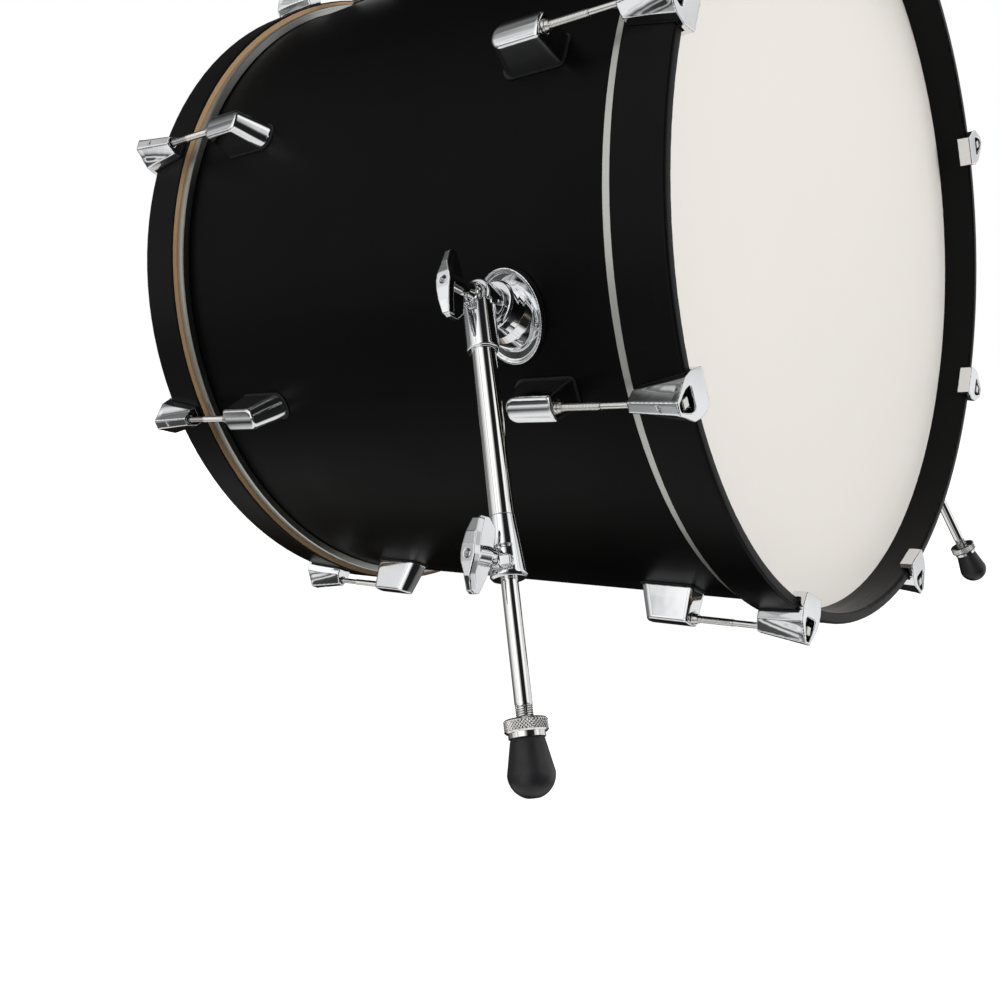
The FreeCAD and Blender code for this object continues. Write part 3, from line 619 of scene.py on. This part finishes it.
def knurl_lock_nuts():
    """Lock nuts with a diamond knurl between two plain bevels, over a plain neck."""
    for side in SIDES:
        node = side + "_spur_lock_nut"
        joint = placed_joint(side + "_lock_nut_turn")
        along, across = along_and_across(points_of(node), joint["at"], joint["axis"])
        top, low = along.min(), along.max()
        outer, bore = across.max(), across.min()
        neck = low - NUT_NECK
        around = int(2 * math.pi * outer / KNURL_PITCH)
        start, end = top + NUT_BEVEL, neck - NUT_BEVEL

        def surface(angle, station):
            if station < top:
                return bore
            if station <= start:
                return outer - (start - station)
            if station >= low:
                return bore
            if station > neck:
                return outer - NUT_NECK_IN
            if station >= end:
                return outer - (station - end)
            fade = min(1.0, (station - start) / KNURL_FADE, (end - station) / KNURL_FADE)
            turn = angle * around / (2 * math.pi)
            left = wave(turn + (station - start) / KNURL_PITCH)
            right = wave(turn - (station - start) / KNURL_PITCH)
            return outer - KNURL_DEEP * fade * max(left, right)

        shape = bmesh.new()
        count = around * 8
        knurl = [start + (end - start) * k / KNURL_ROWS for k in range(KNURL_ROWS + 1)]
        stations = [top - TINY, top, start - 0.3 * MM] + knurl
        stations += [end + 0.3 * MM, neck, neck + TINY, neck + 0.4 * MM, low - TINY, low]
        rows = add_tube(shape, joint["at"], joint["axis"], count, stations, surface)
        first, last = rows[0], rows[-1]
        for k in range(count):
            after = (k + 1) % count
            shape.faces.new((last[k], last[after], first[after], first[k]))
        piece = piece_from(node + "_knurled", shape)
        shade_smooth(piece.data, 28.0)
        stands_for(piece, node)


SPUR_CASTINGS = (                      # node, grain of its mesh, passes of polish
    ("_spur_leg_casting", 0.35 * MM, 6),
    ("_spur_clamp_collar", 0.32 * MM, 4),
    ("_spur_clamp_wing", 0.32 * MM, 7),
    ("_spur_pivot_wing_bolt", 0.32 * MM, 6),
    ("_spur_clamp_bolt", 0.2 * MM, 2),
)


def build_details():
    for side in SIDES:
        soften(side + "_spur_base", 0.4 * MM, 5, lambda mesh: dish_flange(mesh, side))
        for node, grain, passes in SPUR_CASTINGS:
            soften(side + node, grain, passes)
    for end in ENDS:
        soften(end + "_claws", 0.5 * MM, 4, lambda mesh: shaped_round_drum(mesh, claw_scoop))
        soften(end + "_lugs", 0.6 * MM, 8, lambda mesh: shaped_round_drum(mesh, lug_crown))
    thread_tension_rods()
    thread_inner_rods()
    knurl_lock_nuts()


build_details()


# ---- studio ------------------------------------------------------------------------
CAMERA_AT = Vector((-0.8317, -0.5831, 0.2329))
HEADING = math.radians(50.61)      # from +Y towards +X
DOWN = math.radians(7.43)
ROLL = math.radians(0.69)
LENS = 39.16


def make_camera():
    data = bpy.data.cameras.new("camera")
    data.lens = LENS
    data.sensor_width = 36.0
    data.clip_start = 0.02
    camera = bpy.data.objects.new("camera", data)
    bpy.context.scene.collection.objects.link(camera)
    turn = Matrix.Rotation(-HEADING, 4, "Z") @ Matrix.Rotation(math.pi / 2 - DOWN, 4, "X")
    camera.matrix_world = Matrix.Translation(CAMERA_AT) @ turn @ Matrix.Rotation(ROLL, 4, "Z")
    bpy.context.scene.camera = camera


def softbox(name, place, aim, size, power):
    """A soft lamp that metal does not mirror: it mirrors the studio's own panels instead."""
    data = bpy.data.lights.new(name, "AREA")
    data.shape = "RECTANGLE"
    data.size, data.size_y = size
    data.energy = power
    light = bpy.data.objects.new(name, data)
    bpy.context.scene.collection.objects.link(light)
    light.location = place
    towards = Vector(aim) - Vector(place)
    light.rotation_euler = towards.to_track_quat("-Z", "Y").to_euler()
    light.visible_camera = False
    light.visible_glossy = False


FLOOR_HALF = 60.0


def make_floor():
    """A white floor that glows a little, as a floor lit from all round does."""
    mesh = bpy.data.meshes.new("floor")
    half = FLOOR_HALF
    corners = [(-half, -half, 0), (half, -half, 0), (half, half, 0), (-half, half, 0)]
    mesh.from_pydata(corners, [], [(0, 1, 2, 3)])
    floor = bpy.data.objects.new("floor", mesh)
    bpy.context.scene.collection.objects.link(floor)
    s = Shader("white_floor", (0.25, 0.25, 0.25), 0.0, 0.7)
    s.ramp(s.noise(s.place(), 3.0, 2.0), 0.62, 0.74, "Roughness")
    s.set("Specular IOR Level", 0.0)
    s.set("Emission Color", (1, 1, 1, 1))
    s.set("Emission Strength", 0.99)
    mesh.materials.append(s.material)
    floor.visible_diffuse = False
    floor.visible_glossy = False


# The studio round the drum that its metal mirrors.  Turns are in degrees from the way back to
# the camera towards the camera's right, and heights in degrees above the horizon.  A panel's
# brightness rises over the first pair of turns and falls over the second, and so for heights.
PANELS = (
    ("left_window", (-140.0, -52.0), (-31.0, 3.0), (-34.0, -22.0), (46.0, 66.0), 1.35),
    ("far_left_wall", (-178.0, -150.0), (-128.0, -96.0), (-30.0, -5.0), (20.0, 40.0), 0.22),
    ("right_window", (47.0, 62.0), (84.0, 98.0), (-5.0, 9.0), (44.0, 62.0), 1.20),
    ("front_screen", (78.0, 92.0), (124.0, 160.0), (-40.0, -14.0), (20.0, 50.0), 0.95),
    ("ceiling", (-401.0, -400.0), (400.0, 401.0), (72.0, 84.0), (120.0, 121.0), 0.30),
    ("pale_ground", (-150.0, -120.0), (118.0, 150.0), (-121.0, -120.0), (-44.0, -30.0), 0.95),
)
# Dark edges across the panels, in the same form, with the share of light that they take.
BARS = (
    ((-104.0, -90.0), (-66.0, -56.0), (-25.0, -21.0), (-10.0, -5.0), 0.93),
    ((-66.0, -64.0), (-61.0, -59.0), (-30.0, -20.0), (70.0, 80.0), 0.55),
    ((-112.0, -108.0), (-104.0, -100.0), (-30.0, -20.0), (70.0, 80.0), 0.6),
)
WARM_TURNS = ((-178.0, -170.0), (-140.0, -125.0))     # a wooden floor shows from this side
WARM_HEIGHTS = ((-90.0, -75.0), (-22.0, -8.0))
WARM = (0.80, 0.66, 0.52)
STUDIO_DARK = 0.016
DAPPLE = 0.42                # share of a panel's light that its folds take away


def make_world():
    """White behind the drum; in mirrors and for light, a dark studio with bright panels."""
    world = bpy.data.worlds.new("studio")
    bpy.context.scene.world = world
    world.use_nodes = True
    tree = world.node_tree
    background = tree.nodes["Background"]

    def calc(operation, *values):
        node = tree.nodes.new("ShaderNodeMath")
        node.operation = operation
        for index, value in enumerate(values):
            if isinstance(value, (int, float)):
                node.inputs[index].default_value = value
            else:
                tree.links.new(value, node.inputs[index])
        return node.outputs[0]

    def step(value, start, end):
        node = tree.nodes.new("ShaderNodeMapRange")
        node.interpolation_type = "SMOOTHSTEP"
        node.inputs["From Min"].default_value = start
        node.inputs["From Max"].default_value = end
        tree.links.new(value, node.inputs["Value"])
        return node.outputs["Result"]

    def inside(value, rise, fall):
        return calc("MULTIPLY", step(value, *rise), calc("SUBTRACT", 1.0, step(value, *fall)))

    split = tree.nodes.new("ShaderNodeSeparateXYZ")
    tree.links.new(tree.nodes.new("ShaderNodeTexCoord").outputs["Generated"], split.inputs[0])
    x, y, z = split.outputs
    sine, cosine = math.sin(HEADING), math.cos(HEADING)
    back = calc("ADD", calc("MULTIPLY", x, -sine), calc("MULTIPLY", y, -cosine))
    right = calc("ADD", calc("MULTIPLY", x, cosine), calc("MULTIPLY", y, -sine))
    turn = calc("DEGREES", calc("ARCTAN2", right, back))
    height = calc("DEGREES", calc("ARCSINE", z))

    folds = tree.nodes.new("ShaderNodeTexNoise")
    folds.inputs["Scale"].default_value = 1.0
    folds.inputs["Detail"].default_value = 2.0
    place = tree.nodes.new("ShaderNodeCombineXYZ")
    tree.links.new(calc("MULTIPLY", turn, 0.11), place.inputs[0])
    tree.links.new(calc("MULTIPLY", height, 0.09), place.inputs[1])
    tree.links.new(place.outputs[0], folds.inputs["Vector"])
    shade = calc("SUBTRACT", 1.0, calc("MULTIPLY", step(folds.outputs["Fac"], 0.50, 0.66), DAPPLE))

    total = STUDIO_DARK
    for name, rise, fall, low, high, bright in PANELS:
        spot = calc("MULTIPLY", inside(turn, rise, fall), inside(height, low, high))
        total = calc("MAXIMUM", total, calc("MULTIPLY", spot, bright))
    for rise, fall, low, high, share in BARS:
        bar = calc("MULTIPLY", inside(turn, rise, fall), inside(height, low, high))
        total = calc("MULTIPLY", total, calc("SUBTRACT", 1.0, calc("MULTIPLY", bar, share)))
    seen = tree.nodes.new("ShaderNodeLightPath").outputs["Is Camera Ray"]
    total = calc("MAXIMUM", calc("MULTIPLY", total, shade), seen)
    tree.links.new(total, background.inputs["Strength"])

    warm = calc("MULTIPLY", inside(turn, *WARM_TURNS), inside(height, *WARM_HEIGHTS))
    warm = calc("MULTIPLY", warm, calc("SUBTRACT", 1.0, seen))
    tint = tree.nodes.new("ShaderNodeMix")
    tint.data_type = "RGBA"
    tint.inputs["A"].default_value = (1.0, 1.0, 1.0, 1.0)
    tint.inputs["B"].default_value = (*WARM, 1.0)
    tree.links.new(warm, tint.inputs["Factor"])
    tree.links.new(tint.outputs["Result"], background.inputs["Color"])


make_camera()
make_floor()
make_world()
softbox("front_fill", (-0.6, -3.2, 1.3), (0.0, 0, 0.3), (1.8, 1.4), 80)
softbox("top_fill", (0.0, -0.6, 3.4), (0.0, 0, 0.0), (3.0, 3.0), 60)
softbox("rear_fill", (0.6, 3.2, 1.3), (0.0, 0, 0.3), (1.8, 1.4), 70)
bpy.context.scene.view_settings.view_transform = "Standard"
